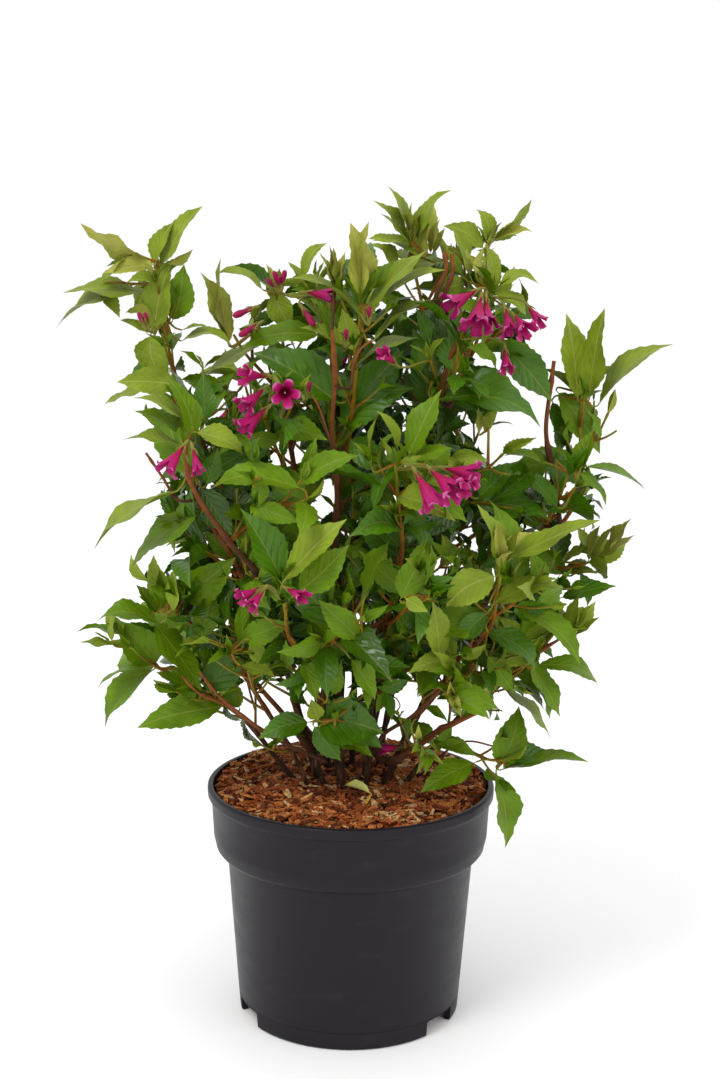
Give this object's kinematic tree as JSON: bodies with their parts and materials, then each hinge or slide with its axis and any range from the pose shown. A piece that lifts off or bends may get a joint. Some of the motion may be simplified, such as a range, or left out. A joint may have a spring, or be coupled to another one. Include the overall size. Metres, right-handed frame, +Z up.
{
  "type": "potted flowering shrub",
  "caption": "Potted weigela: an upright, open shrub of tapering stems with opposite drooping leaves and magenta funnel flowers, standing in a round black nursery pot with bark mulch.",
  "frame": {"origin": "middle of the flat underside of the pot, on the surface that the pot stands on", "axes": "+Z up the plant, its longest extent; -Y towards the viewer of the picture; +X to the viewer's right"},
  "size_m": [0.4501, 0.4137, 0.645],
  "materials": {
    "pot": "satin",
    "potting_mix": "matte",
    "bark": "matte",
    "foliage": "satin"
  },
  "bodies": {
    "root": {"limb_back": "bark", "limb_back_left": "bark", "limb_back_right": "bark", "limb_centre": "bark", "limb_far_left": "bark", "limb_front": "bark", "limb_front_right": "bark", "limb_inner_left": "bark", "limb_left": "bark", "limb_low_left": "bark", "limb_low_right": "bark", "limb_peak": "bark", "limb_right": "bark", "limb_top_right": "bark", "limb_upper_left": "bark", "limb_yellow": "bark", "pot": "pot", "potting_mix": "potting_mix", "shoots_back": "foliage", "shoots_back_left": "foliage", "shoots_back_right": "foliage", "shoots_back_top": "foliage", "shoots_back_top_left": "foliage", "shoots_back_top_right": "foliage", "shoots_bright_front": "foliage", "shoots_centre_front": "foliage", "shoots_centre_right": "foliage", "shoots_centre_top": "foliage", "shoots_far_left": "foliage", "shoots_flowering_front": "foliage", "shoots_inner_front": "foliage", "shoots_inner_left": "foliage", "shoots_left_arm": "foliage", "shoots_left_centre": "foliage", "shoots_left_low_arm": "foliage", "shoots_left_middle": "foliage", "shoots_left_shoulder": "foliage", "shoots_low_back": "foliage", "shoots_low_back_left": "foliage", "shoots_low_back_right": "foliage", "shoots_low_front": "foliage", "shoots_low_front_left": "foliage", "shoots_low_front_right": "foliage", "shoots_low_left": "foliage", "shoots_low_right": "foliage", "shoots_low_right_front": "foliage", "shoots_lower_left_front": "foliage", "shoots_middle_front": "foliage", "shoots_peak": "foliage", "shoots_right": "foliage", "shoots_right_centre": "foliage", "shoots_right_low": "foliage", "shoots_right_middle": "foliage", "shoots_top_left": "foliage", "shoots_top_right": "foliage", "shoots_upper_left": "foliage", "shoots_upper_right": "foliage", "sprig_foot_front": "foliage", "sprig_foot_right": "foliage", "sprig_right": "foliage"}
  },
  "joints": []
}
